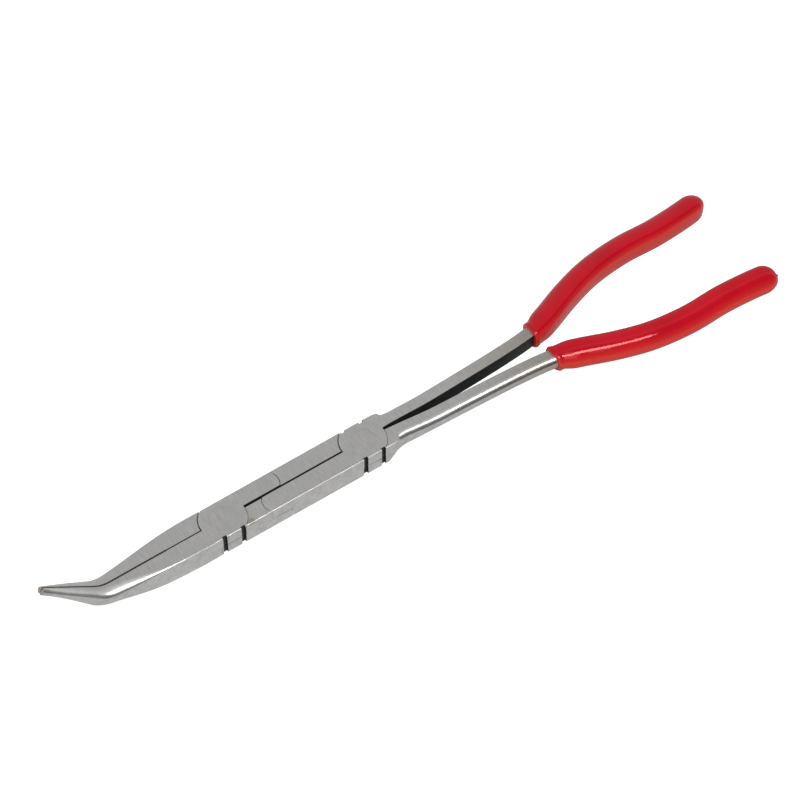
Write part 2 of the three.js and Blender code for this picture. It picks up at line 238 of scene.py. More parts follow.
def outer_outline(half_width, height, top, bottom):
    """(out, down) points from the top's middle to the underside's middle, round one outer side.
    top and bottom are the (across, down) half axes of the two outer edges' quarter ellipses."""
    turns = [0.5 * math.pi * k / EDGE_STEPS for k in range(EDGE_STEPS + 1)]
    points = [(0.0, 0.0), ((half_width - top[0]) * 0.5, 0.0)]
    for turn in turns:
        points.append((half_width - top[0] * (1 - math.sin(turn)), top[1] * (1 - math.cos(turn))))
    for turn in turns:
        points.append((half_width - bottom[0] * (1 - math.cos(turn)), height - bottom[1] * (1 - math.sin(turn))))
    points += [((half_width - bottom[0]) * 0.5, height), (0.0, height)]
    return points


def whole_ring(x, top_z, slope, outline):
    """The outline on both sides of the centreline as one ring."""
    both = [(side * out, down) for side, part in ((1, outline), (-1, outline[-2:0:-1])) for out, down in part]
    return [Vector((x - down * math.sin(slope), out, top_z - down * math.cos(slope))) for out, down in both]


# %% [markdown]
# ## The nose
# The top edge of the nose runs straight ahead of the jaw pivot, bends up through forty degrees and runs
# straight to the tip. The sections hang from that edge and get narrower and thinner. The rounding of the
# outer edges starts as a fine broken edge at the joint and swells until the top is a low crown, which falls
# away a little towards its outer side. That is what catches the light in one long line.

# %% Nose path and sizes
JAW_HALF_WIDTH = 8.1
TIP_HALF_WIDTH = 1.7
TIP_HEIGHT = 3.2
NOSE_STRAIGHT = 53.7
NOSE_LENGTH = NOSE_STRAIGHT + 30.2
NOSE_ANGLE = math.radians(40)
NOSE_BEND_RADIUS = 9.0
NOSE_END = NOSE_LENGTH - NOSE_BEND_RADIUS * (2 * math.tan(NOSE_ANGLE / 2) - NOSE_ANGLE)
NARROWS_FROM, NARROWING = 12, 1.5
THINS_FROM, THINNING = 34, 1.7
FINE_EDGE = 0.22
FINE_EDGE_GROWS = (5, 9)
CROWN_GROWS = (18, 56)
CROWN = (0.88, 0.28)
CROWN_DELAY = 1.25
UNDERSIDE_GROWS = (26, 58)
UNDERSIDE = (0.75, 0.5)
NOSE_FALL = 0.7
FALL_GROWS = (18, 50)


def nose_path(s):
    """Place (x, z) and slope of the nose's top edge, s millimetres ahead of the jaw pivot."""
    tangent = NOSE_BEND_RADIUS * math.tan(NOSE_ANGLE / 2)
    arc = NOSE_BEND_RADIUS * NOSE_ANGLE
    start = NOSE_STRAIGHT - tangent
    slope = min(1.0, max(0.0, (s - start) / arc)) * NOSE_ANGLE
    beyond = max(0.0, s - start - arc)
    ahead = min(s, start) + NOSE_BEND_RADIUS * math.sin(slope) + beyond * math.cos(NOSE_ANGLE)
    rise = NOSE_BEND_RADIUS * (1 - math.cos(slope)) + beyond * math.sin(NOSE_ANGLE)
    return JAW_PIVOT.x - ahead, THICKNESS + rise, slope


def nose_half_width(s):
    return mixed(TIP_HALF_WIDTH, JAW_HALF_WIDTH, 1 - share_of(NARROWS_FROM, NOSE_LENGTH, s) ** NARROWING)


def nose_height(s):
    return mixed(TIP_HEIGHT, THICKNESS, (1 - share_of(THINS_FROM, NOSE_LENGTH, s) ** THINNING) ** 2)


def nose_edges(s):
    """Half axes of the outer top edge and outer bottom edge at s. CROWN and UNDERSIDE are the full-grown
    half axes as shares of the half width and the height."""
    width, height = nose_half_width(s), nose_height(s)
    fine = mixed(BROKEN_EDGE, FINE_EDGE, eased(*FINE_EDGE_GROWS, s))
    grown, under = eased(*CROWN_GROWS, s), eased(*UNDERSIDE_GROWS, s)
    top = (mixed(fine, CROWN[0] * width, grown), mixed(fine, CROWN[1] * height, grown**CROWN_DELAY))
    bottom = (mixed(fine, UNDERSIDE[0] * width, under), mixed(fine, UNDERSIDE[1] * height, under))
    return top, bottom


def nose_fall(s, out, down):
    """How far the ground top of the nose slopes down towards its outer side."""
    return NOSE_FALL * eased(*FALL_GROWS, s) * out / nose_half_width(s) * (1 - down / nose_height(s))


print(f"nose {NOSE_END:.1f} mm along its top edge")

# %% [markdown]
# ## The heel
# Behind the handle pivot each plate narrows into its rod. The forging die scoops the lower outer edge away
# quickly there, while the top stays flat for longer. These curves are shared by the bar's end and by the
# rods, so that the two meet in one surface. The handle pivot stands at x = 0, so x is the distance behind it.

# %% Heel shape
HANDLE_HALF_WIDTH = 8.35
ROD_WIDTH = 6.4
ROD_HEIGHT = 7.0
ROD_UNDER_EDGE = (0.74 * ROD_WIDTH, 0.46 * ROD_HEIGHT)
HEEL_SLOT = 1.2
HEEL_END = 9.9
HEEL_SCOOP = (7.1, 13.5)
HEEL_SCOOP_DEPTH = 6.2
HEEL_WIDTH_FALL = (7.8, 21.0)
HEEL_UNDER_RISE = (HEEL_END, 18.0)


def heel_half_width(x):
    return mixed(HANDLE_HALF_WIDTH, ROD_WIDTH + HEEL_SLOT / 2, eased(*HEEL_WIDTH_FALL, x))


def heel_under_edge(x):
    """Half axes of the lower outer edge, which the forging die scoops away quickly behind the pivot."""
    scooped = 1 - (1 - share_of(*HEEL_SCOOP, x)) ** 2
    down = mixed(mixed(BROKEN_EDGE, HEEL_SCOOP_DEPTH, scooped), ROD_UNDER_EDGE[1], eased(*HEEL_UNDER_RISE, x))
    return mixed(BROKEN_EDGE, ROD_UNDER_EDGE[0], scooped), down


print("half widths of the heel:", [round(heel_half_width(x), 2) for x in HEEL_WIDTH_FALL])

# %% [markdown]
# ## One bar for four levers
# All four levers have the same outside, so one bar runs from the nose's tip over both pivots to the heel.
# Each lever is then cut out of its own copy. Modelling four levers one by one would leave small steps where
# two of them lie side by side.

# %% The bar that all four levers are cut from
NOSE_SECTIONS = 110
HEEL_SECTIONS = 10
PLAIN_EDGE = (BROKEN_EDGE, BROKEN_EDGE)


def plate_ring(x, half_width, bottom=PLAIN_EDGE):
    return whole_ring(x, THICKNESS, 0.0, outer_outline(half_width, THICKNESS, PLAIN_EDGE, bottom))


rings = []
for k in range(NOSE_SECTIONS + 1):
    s = NOSE_END * (1 - k / NOSE_SECTIONS)
    x, z, slope = nose_path(s)
    outline = outer_outline(nose_half_width(s), nose_height(s), *nose_edges(s))
    rings.append(whole_ring(x, z, slope, [(out, down + nose_fall(s, out, down)) for out, down in outline]))
rings.append(plate_ring(JAW_PIVOT.x + SPACING / 2, mixed(JAW_HALF_WIDTH, HANDLE_HALF_WIDTH, 0.5)))
rings.append(plate_ring(HANDLE_PIVOT.x, HANDLE_HALF_WIDTH))
for k in range(HEEL_SECTIONS + 1):
    x = HANDLE_PIVOT.x + mixed(HEEL_SCOOP[0], HEEL_END, k / HEEL_SECTIONS)
    rings.append(plate_ring(x, heel_half_width(x), heel_under_edge(x)))
bar = rolled_tube("bar", rings)
print(size_of(bar))

# %% [markdown]
# ## Half-laps
# At each pivot the two levers cross. Each is milled to half its thickness there: one keeps the top half as a
# round disc, the other the bottom half. The rear end of each jaw laps the front end of an arm in the same
# way. So the room a lever takes is two straight blocks, a disc and a small round end, less the pockets for
# the lever it crosses. The discs and pockets have a fine broken edge where they meet the surface.

# %% Discs and pockets
TALL = 60.0
SEAM_EDGE = 0.08
LAYER_GAP = 0.2
TOP_FLOOR = MIDDLE + LAYER_GAP / 2


def top_disc(name, centre, radius):
    """The top-layer disc, with a fine chamfer where it reaches the plate's face."""
    edge = THICKNESS - SEAM_EDGE
    profile = [(0, TOP_FLOOR), (radius, TOP_FLOOR), (radius, edge), (radius - SEAM_EDGE, THICKNESS),
               (radius - SEAM_EDGE, TALL), (0, TALL)]
    return spun(name, profile, centre)


def under_pocket(name, centre, radius):
    """The pocket from below for a disc of that radius, with its chamfer at the underside."""
    wide = radius + SEAM_EDGE
    profile = [(0, -TALL), (wide, -TALL), (wide, 0), (radius, SEAM_EDGE), (radius, TOP_FLOOR), (0, TOP_FLOOR)]
    return spun(name, profile, centre)


def halved(piece, xs, ys):
    return fitted(piece, block("half", xs, ys, (-2 * TALL, 2 * TALL)), "INTERSECT")


# %% [markdown]
# ## The room of one lever
# The seams are hairlines, except ahead of the pivots, where the forgings leave a wider line. The left link
# has a little more play than the right one, because a chain of four levers needs it to move freely. One
# function makes both rooms, since a jaw and a handle differ only in their lengths and slots.

# %% Rooms and the four levers
LAP_RADIUS = 9.55
LINK_RADIUS = 5.8
FINE_SEAM = 0.14
FRONT_SEAM = 0.42
LINK_SEAM = 0.16
OPEN_LINK_SEAM = 0.22
JAW_SLIT = 0.5
TAIL_SLOT = 1.2
ARM_SLOT = 0.8
PAST_TIP = JAW_PIVOT.x - 100


def lever_room(name, pivot, front, rear, link_centre, link_side, link_seam, slots):
    """Room of a lever that is on the left ahead of the pivot, on the right behind it, and on top at both laps."""
    front_slot, rear_slot = slots
    room = block(name, (front, pivot.x), (-TALL, -front_slot / 2), (-TALL, TALL))
    room = fitted(room, block("rear", (pivot.x, rear), (rear_slot / 2, TALL), (-TALL, TALL)), "UNION")
    room = fitted(room, top_disc("disc", pivot, LAP_RADIUS), "UNION")
    inner = {1: (rear_slot / 2, TALL), -1: (-TALL, -front_slot / 2)}[link_side]
    end = halved(top_disc("end", link_centre, LINK_RADIUS), (link_centre.x - TALL, link_centre.x + TALL), inner)
    room = fitted(room, end, "UNION")
    room = fitted(room, under_pocket("pocket", pivot, LAP_RADIUS + FINE_SEAM), "DIFFERENCE")
    wide = halved(under_pocket("wide", pivot, LAP_RADIUS + FRONT_SEAM), (pivot.x - TALL, pivot.x), (-TALL, TALL))
    room = fitted(room, wide, "DIFFERENCE")
    return fitted(room, under_pocket("link", link_centre, LINK_RADIUS + link_seam), "DIFFERENCE")


jaw_room = lever_room(
    "jaw_room", JAW_PIVOT, PAST_TIP, RIGHT_LINK.x, RIGHT_LINK, 1, LINK_SEAM, (JAW_SLIT, TAIL_SLOT)
)
handle_room = lever_room(
    "handle_room", HANDLE_PIVOT, LEFT_LINK.x, HEEL_END, LEFT_LINK, -1, OPEN_LINK_SEAM, (ARM_SLOT, HEEL_SLOT)
)
print(size_of(jaw_room), "|", size_of(handle_room))

left_jaw = fitted(copied(bar, "left_jaw_forging"), jaw_room, "INTERSECT", keep_tool=True)
right_jaw = fitted(copied(bar, "right_jaw_forging"), turned_over(jaw_room, "room"), "INTERSECT")
right_handle = fitted(copied(bar, "right_handle_forging"), handle_room, "INTERSECT", keep_tool=True)
left_handle = fitted(copied(bar, "left_handle_forging"), turned_over(handle_room, "room"), "INTERSECT")
for tool in (bar, jaw_room, handle_room):
    bpy.data.objects.remove(tool)
print(size_of(left_jaw), "|", size_of(right_handle))

# %% [markdown]
# ## The handles' line
# Each handle starts as a straight D-shaped rod, whose flat face looks at the other handle, and bends in a
# slow S inside the grip. The line below is that flat face: a smooth curve through a few points, the same one
# as in the CAD. Blender's own curves would need handles set by hand to match it, so the curve is worked out.

# %% Handle line
COLLAR_AT = 88.0
COLLAR_OFFSET = 5.0
HANDLE_REACH = 188.6
ROD_START = 8.3
GRIP_BENDS = ((0.1, 8.2), (0.25, 14), (0.39, 18), (0.56, 19.9), (0.73, 19.5), (0.88, 20.4), (1, 21.9))
LINE_PIECES = 40
POINTS_BACK, POINTS_AHEAD = 3, 2


def smooth_line(knots):
    """Points of the centripetal curve through the knots."""
    knots = [2 * knots[0] - knots[1], *knots, 2 * knots[-1] - knots[-2]]
    line = []
    for p0, p1, p2, p3 in zip(knots, knots[1:], knots[2:], knots[3:]):
        a, b, c = ((q - p).length ** 0.5 for p, q in ((p0, p1), (p1, p2), (p2, p3)))
        into = ((p1 - p0) / a - (p2 - p0) / (a + b) + (p2 - p1) / b) * b
        out = ((p2 - p1) / b - (p3 - p1) / (b + c) + (p3 - p2) / c) * b
        for k in range(LINE_PIECES):
            t = k / LINE_PIECES
            line.append(
                (2 * t**3 - 3 * t**2 + 1) * p1 + (t**3 - 2 * t**2 + t) * into
                + (3 * t**2 - 2 * t**3) * p2 + (t**3 - t**2) * out
            )
    return [*line, knots[-2]]


handle_line = smooth_line([
    Vector((ROD_START, HEEL_SLOT / 2)),
    Vector((COLLAR_AT, COLLAR_OFFSET)),
    *[Vector((mixed(COLLAR_AT, HANDLE_REACH, share), offset)) for share, offset in GRIP_BENDS],
])
line_lengths = [0.0]
for p, q in zip(handle_line, handle_line[1:]):
    line_lengths.append(line_lengths[-1] + (q - p).length)
LINE_LENGTH = line_lengths[-1]
COLLAR = min((abs(p.x - COLLAR_AT), d) for p, d in zip(handle_line, line_lengths))[1]


def on_line(distance):
    """Place and direction at a distance along the handle's line."""
    k = next((i for i in range(1, len(line_lengths) - 1) if line_lengths[i] >= distance), len(line_lengths) - 1)
    span = line_lengths[k] - line_lengths[k - 1]
    place = handle_line[k - 1].lerp(handle_line[k], (distance - line_lengths[k - 1]) / span)
    before = handle_line[max(0, k - POINTS_BACK)]
    after = handle_line[min(len(handle_line) - 1, k + POINTS_AHEAD)]
    return place, (after - before).normalized()


def beside_line(distance, out, up):
    place, along = on_line(distance)
    return Vector((place.x - along.y * out, place.y + along.x * out, MIDDLE + up))


print(f"handle line {LINE_LENGTH:.1f} mm, collar {COLLAR:.1f} mm along it")

# %% [markdown]
# ## Rods
# The rod is drawn out of the same forging as the arm. It leaves the heel at full thickness, sinks to a
# rounded D and keeps that section to its end inside the grip. The sections stand closer together at the
# heel, where the shape changes quickly. A slightly thicker rod serves later as the drill for the grip.

# %% Rods
ROD_TOP_EDGE = (0.6 * ROD_WIDTH, 0.44 * ROD_HEIGHT)
HEEL_TOP_FALL = (10.0, 34.0)
SCALLOP = (11.6, 13.2)
CORE_SHORTFALL = 7.0
ROD_FROM = 0.4
ROD_SECTIONS = 110
ROD_CROWDING = 1.6


def rod_ring(distance, grow=0.0):
    place, _ = on_line(distance)
    x = place.x
    width = mixed(heel_half_width(x) - place.y, ROD_WIDTH, eased(HEEL_END, HEEL_WIDTH_FALL[1], x)) + grow
    top = mixed(THICKNESS, MIDDLE + ROD_HEIGHT / 2, eased(*HEEL_TOP_FALL, x)) - MIDDLE + grow
    under = mixed(0.0, MIDDLE - ROD_HEIGHT / 2, eased(*HEEL_UNDER_RISE, x)) - MIDDLE - grow
    cut = eased(*SCALLOP, x)
    edge = (mixed(BROKEN_EDGE, ROD_TOP_EDGE[0], cut), mixed(BROKEN_EDGE, ROD_TOP_EDGE[1], cut))
    outline = outer_outline(width, top - under, edge, heel_under_edge(x))
    return [beside_line(distance, out if out > 0 else -grow, top - down) for out, down in outline]


def rod(name, start, end, grow=0.0):
    shares = [(k / ROD_SECTIONS) ** ROD_CROWDING for k in range(ROD_SECTIONS + 1)]
    return rolled_tube(name, [rod_ring(mixed(start, end, share), grow) for share in shares])


pocket = under_pocket("pocket", HANDLE_PIVOT, LAP_RADIUS + FINE_SEAM)
right_rod = rod("rod", ROD_FROM, LINE_LENGTH - CORE_SHORTFALL)
left_rod = fitted(mirrored(right_rod, "left_rod"), turned_over(pocket, "left_pocket"), "DIFFERENCE")
right_rod = fitted(right_rod, pocket, "DIFFERENCE")
right_handle = fitted(right_handle, right_rod, "UNION")
left_handle = fitted(left_handle, left_rod, "UNION")
print(size_of(right_handle))

# %% [markdown]
# ## Notches
# Small square notches are cut beside the pivots, left over from how the forgings are held. They could be
# painted on as dark marks, but they break the outline, so they are real cuts. The far side of the jaw pivot
# has none.

# %% Notches
NOTCH_OFFSET = 4.15
NOTCH_WIDTH = 1.9
NOTCH_DEPTH = 1.0
PIVOT_SIDES = ((JAW_PIVOT, JAW_HALF_WIDTH), (HANDLE_PIVOT, HANDLE_HALF_WIDTH))

for pivot, half_width in PIVOT_SIDES:
    levers = (left_jaw, right_jaw) if pivot is JAW_PIVOT else (left_handle, right_handle)
    sides = (-1,) if pivot is JAW_PIVOT else (-1, 1)
    for side in sides:
        for offset in (-NOTCH_OFFSET, NOTCH_OFFSET):
            xs = (pivot.x + offset - NOTCH_WIDTH / 2, pivot.x + offset + NOTCH_WIDTH / 2)
            ys = sorted((side * (half_width - NOTCH_DEPTH), side * TALL))
            for lever in levers:
                fitted(lever, block("notch", xs, ys, (-TALL, TALL)), "DIFFERENCE")
print(size_of(left_jaw), "|", size_of(left_handle))

# %% [markdown]
# ## Rivets
# The rivets are pressed into countersunk holes and ground flush, so all that shows is a hairline circle. Each
# is a spun profile, and the hole is the same profile, a little wider and longer. The left link's rivet turns
# in a looser hole in the right jaw.

# %% Rivets
RIVETS = {  # radii of the shank and of the head
    "jaw_pivot_rivet": (4.2, 5.6),
    "handle_pivot_rivet": (3.9, 5.1),
    "left_link_rivet": (2.2, 2.9),
    "right_link_rivet": (2.2, 2.9),
}
HEAD_RIM = 0.6
HEAD_TAPER = 1.6
RIVET_SEAM = 0.025
RIVET_EDGE = 0.015
DRILL_PROUD = 1.0


def rivet_profile(shank, head, seam=0.0, ends=None):
    """(radius, height) pairs of a rivet with two countersunk heads, or of its hole where seam is given."""
    low, high = ends or (0.0, THICKNESS)
    rim, taper = HEAD_RIM, HEAD_RIM + HEAD_TAPER
    shank, head = shank + seam, head + seam
    edge = 0.0 if seam else RIVET_EDGE
    side = [(0, low), (head - edge, low)]
    side += [(head, edge)] if edge else []
    side += [(head, rim), (shank, taper), (shank, THICKNESS - taper), (head, THICKNESS - rim)]
    side += [(head, THICKNESS - edge)] if edge else []
    return [*side, (head - edge, high), (0, high)]


rivets = {}
for name, (shank, head) in RIVETS.items():
    centre = centre_mm(name)
    rivets[name] = spun(name + "_head", rivet_profile(shank, head), centre)
    for lever in (left_jaw, right_jaw, left_handle, right_handle):
        low, high = (reach(v.co.x for v in lever.data.vertices) / MM for reach in (min, max))
        if low < centre.x < high:
            loose = name == "left_link_rivet" and lever is right_jaw
            seam = OPEN_LINK_SEAM if loose else RIVET_SEAM
            ends = (-DRILL_PROUD, THICKNESS + DRILL_PROUD)
            hole = spun("hole", rivet_profile(shank, head, seam, ends), centre)
            fitted(lever, hole, "DIFFERENCE")
print({name: len(piece.data.polygons) for name, piece in rivets.items()})

# %% [markdown]
# ## Serrations
# The two noses grip with shallow teeth across their inner faces, square to the nose's top edge. A bump in the
# material would vanish when the shape is exported, so the teeth are cut: each groove is a triangle, extruded
# down through the nose.

# %% Serrations on the inner faces of the nose
TOOTH_PITCH = 1.1
TOOTH_DEPTH = 0.3
TOOTH_FROM = 26.0
TOOTH_SHARE = 0.4
PLAIN_TIP = 1.5
CUTTER_PROUD = 0.1
CUTTER_ABOVE = 1.0


def serrations(side):
    bm = bmesh.new()
    count = int((NOSE_END - PLAIN_TIP - TOOTH_FROM) / TOOTH_PITCH)
    face = side * JAW_SLIT / 2
    for k in range(count):
        s = TOOTH_FROM + k * TOOTH_PITCH
        x, z, slope = nose_path(s)
        ahead = Vector((-math.cos(slope), 0, math.sin(slope)))
        down = Vector((-math.sin(slope), 0, -math.cos(slope)))
        top = Vector((x, face, z)) - down * CUTTER_ABOVE
        prism = bmesh.ops.create_circle(bm, segments=3, radius=1, cap_ends=True)
        half = ahead * TOOTH_PITCH * TOOTH_SHARE
        deep = Vector((0, side * TOOTH_DEPTH, 0))
        proud = Vector((0, -side * CUTTER_PROUD, 0))
        for vert, place in zip(prism["verts"], (top - half + proud, top + deep, top + half + proud)):
            vert.co = place * MM
        cap = [f for f in bm.faces if f.verts[0] in prism["verts"]]
        grown = bmesh.ops.extrude_face_region(bm, geom=cap)
        bmesh.ops.translate(
            bm, vec=down * (nose_height(s) + 2 * CUTTER_ABOVE) * MM,
            verts=[v for v in grown["geom"] if isinstance(v, bmesh.types.BMVert)],
        )
        bm.faces.ensure_lookup_table()
    return new_object("serrations", bm)


for side, jaw in ((-1, left_jaw), (1, right_jaw)):
    fitted(jaw, serrations(side), "DIFFERENCE")
print(size_of(left_jaw))

# %% [markdown]
# ## Grip section
# Each grip is made by dipping the handle in liquid vinyl. It keeps the rod's rounded D section. The outer
# side is a half ellipse, the inner corners are quarter rounds, and the face between them swells a little, as
# a thick skin does when it sets.

# %% Grip section
GRIP_WALL = 2.25
GRIP_CORNER = 3.3
GRIP_WIDTH = ROD_WIDTH + 2 * GRIP_WALL
GRIP_HEIGHT = ROD_HEIGHT + 2 * GRIP_WALL
GRIP_BULGE = 0.45
OUTER_STEPS = 27
CORNER_STEPS = 9
FACE_POINTS = (1.4, 0, -1.4)


def swell(up):
    return GRIP_BULGE * (1 - (up * 2 / GRIP_HEIGHT) ** 2)


def grip_outline():
    """(out, up) points of the rounded D, flat towards the other grip, centred on the rod."""
    inner = GRIP_CORNER - GRIP_WIDTH / 2
    corner = GRIP_HEIGHT / 2 - GRIP_CORNER
    points = []
    for k in range(OUTER_STEPS + 1):
        turn = -0.5 * math.pi + math.pi * k / OUTER_STEPS
        points.append((inner + (GRIP_WIDTH - GRIP_CORNER) * math.cos(turn), GRIP_HEIGHT / 2 * math.sin(turn)))
    for centre, start in ((corner, 0.5 * math.pi), (-corner, math.pi)):
        for k in range(1, CORNER_STEPS):
            turn = start + 0.5 * math.pi * k / CORNER_STEPS
            up = centre + GRIP_CORNER * math.sin(turn)
            points.append((inner + GRIP_CORNER * math.cos(turn) - swell(up), up))
        if centre > 0:
            points += [(inner - GRIP_CORNER - swell(up), up) for up in FACE_POINTS]
    return points


GRIP_OUTLINE = grip_outline()
print(len(GRIP_OUTLINE), "points round a grip of", GRIP_WIDTH, "by", GRIP_HEIGHT, "mm")

# %% [markdown]
# ## Grips
# The dip is thinner at the collar, where it ends in a soft rolled lip, and the handle went into the bath at a
# slant, so the collar slants too. The far end is a dome with the last drip still on it. It is one rolled tube
# along the handle's line, bored out afterwards with the thicker rod so that it clears the steel.

# %% Grips
COLLAR_SCALE = 0.86
COLLAR_SLANT = 1.8
SLANT_LENGTH = 12
LIP_SWELL = 0.05
LIP_LENGTH = 2.2
LIP_ROUNDING = 0.06
LIP_EDGE = 0.8
FULL_FROM = 9.0
GRIP_SECTIONS = 110
GRIP_DOME = 7.0
DOME_SECTIONS = 14
DRIP = ((GRIP_DOME + 0.15, 0.095), (GRIP_DOME + 0.5, 0.085), (GRIP_DOME + 0.75, 0.05))
GRIP_END = LINE_LENGTH - GRIP_DOME
GRIP_FIT = 0.05
BORE_AHEAD = 4.0


def grip_scale(distance):
    """Section of the grip against its full size, at a distance behind the collar."""
    lip = LIP_SWELL * math.sin(math.pi * min(1.0, distance / LIP_LENGTH)) if distance < LIP_LENGTH else 0.0
    rounding = 1 - LIP_ROUNDING * max(0.0, 1 - distance / LIP_EDGE) ** 2
    return mixed(COLLAR_SCALE + lip, 1.0, eased(LIP_LENGTH, FULL_FROM, distance)) * rounding


def grip_ring(distance, scale, slant=0.0):
    return [
        beside_line(distance + (out - GRIP_WIDTH / 2) * slant, ROD_WIDTH / 2 + out * scale, up * scale)
        for out, up in GRIP_OUTLINE
    ]


grip_rings = []
for k in range(GRIP_SECTIONS):
    distance = mixed(COLLAR, GRIP_END, k / GRIP_SECTIONS)
    slant = COLLAR_SLANT * (1 - eased(COLLAR, COLLAR + SLANT_LENGTH, distance)) / GRIP_WIDTH
    grip_rings.append(grip_ring(distance, grip_scale(distance - COLLAR), slant))
dome = [0.5 * math.pi * k / DOME_SECTIONS for k in range(DOME_SECTIONS)]
for ahead, scale in [*((GRIP_DOME * math.sin(turn), math.cos(turn)) for turn in dome), *DRIP]:
    grip_rings.append(grip_ring(GRIP_END + ahead, scale))
right_grip = rolled_tube("right_grip_dip", grip_rings)
bore = rod("bore", COLLAR - BORE_AHEAD, LINE_LENGTH - CORE_SHORTFALL + GRIP_FIT, GRIP_FIT)
right_grip = fitted(right_grip, bore, "DIFFERENCE")
left_grip = turned_over(right_grip, "left_grip_dip")
print(size_of(right_grip))

# %% [markdown]
# ## Node helpers
# The finishes are made of shader nodes. These small helpers place a node with its values, join sockets and
# spread one range onto another, so that each material below reads as a list of what feeds what. A Mix node
# keeps its two numbers at sockets 2 and 3 and its two colours at 6 and 7.

# %% Node helpers
NOISE_SPREAD = (0.3, 0.7)
NUMBER_A, NUMBER_B, COLOUR_A, COLOUR_B = 2, 3, 6, 7


def linked(tree, *pairs):
    for source, target in pairs:
        tree.links.new(source, target)


def placed(tree, kind, **values):
    node = tree.nodes.new(kind)
    for key, value in values.items():
        if key in node.inputs:
            node.inputs[key].default_value = value
        else:
            setattr(node, key, value)
    return node


def ramped(tree, source, low, high, dark=0.0, light=1.0):
    """Spreads source from low..high onto dark..light. low may also be the larger of the two."""
    node = placed(tree, "ShaderNodeMapRange", **{"From Min": low, "From Max": high, "To Min": dark, "To Max": light})
    tree.links.new(source, node.inputs["Value"])
    return node.outputs["Result"]


def colour_between(tree, source, dark, light):
    ramp = tree.nodes.new("ShaderNodeValToRGB")
    first, last = ramp.color_ramp.elements
    first.position, last.position = NOISE_SPREAD
    first.color, last.color = (*dark, 1), (*light, 1)
    tree.links.new(source, ramp.inputs["Fac"])
    return ramp.outputs["Color"]


def new_material(name):
    material = bpy.data.materials.new(name)
    material.use_nodes = True
    tree = material.node_tree
    return material, tree, tree.nodes["Principled BSDF"]


# %% [markdown]
# ## Tarnish
# Bare steel goes brown where hands and oil leave it: along the rods towards the collars, at the worn tip, and
# in one seam where oil has seeped out of the joint. Each place is a soft mask on Object coordinates, so it
# stays on the steel in every pose. The largest of them, broken up by noise, is how brown the steel is.

# %% Tarnish mask
BROWN_RODS = (COLLAR_AT - 45, COLLAR_AT + 8)
WORN_TIP = (25.5, 31.0)
OIL_STAIN = (JAW_PIVOT.x + LAP_RADIUS - 1.2, -7.4, THICKNESS)
OIL_RADIUS = 2.2
OIL_CORE = 0.4


def banded(tree, source, low, high):
    """0 at low and 1 at high, in millimetres."""
    return ramped(tree, source, low * MM, high * MM)


def oil_spot(tree, place):
    """1 at the oil stain's core, 0 beyond its radius."""
    apart = placed(tree, "ShaderNodeVectorMath", operation="DISTANCE")
    apart.inputs[1].default_value = Vector(OIL_STAIN) * MM
    tree.links.new(place.outputs["Object"], apart.inputs[0])
    return banded(tree, apart.outputs["Value"], OIL_RADIUS, OIL_CORE * OIL_RADIUS)


def tarnish_mask(tree, place, noise):
    split = tree.nodes.new("ShaderNodeSeparateXYZ")
    tree.links.new(place.outputs["Object"], split.inputs[0])
    mask = banded(tree, split.outputs["X"], *BROWN_RODS)
    for other in (banded(tree, split.outputs["Z"], *WORN_TIP), oil_spot(tree, place)):
        larger = placed(tree, "ShaderNodeMath", operation="MAXIMUM")
        linked(tree, (mask, larger.inputs[0]), (other, larger.inputs[1]))
        mask = larger.outputs[0]
    patchy = placed(tree, "ShaderNodeMath", operation="MULTIPLY")
    patchy.use_clamp = True
    linked(tree, (mask, patchy.inputs[0]), (noise.outputs["Fac"], patchy.inputs[1]))
    return patchy.outputs[0]


# %% [markdown]
# ## Cross grain
# The steel is ground square to the tool's length, so its flats carry fine streaks that run across. The sides
# were only tumbled and are blotchy instead. One node group makes both for every steel: noise stretched across
# the tool where a face looks up or down, fine blotches where it stands upright, and slow clouds over all. It
# reads Object coordinates, and each steel sets its own streaks.

# %% Cross grain group


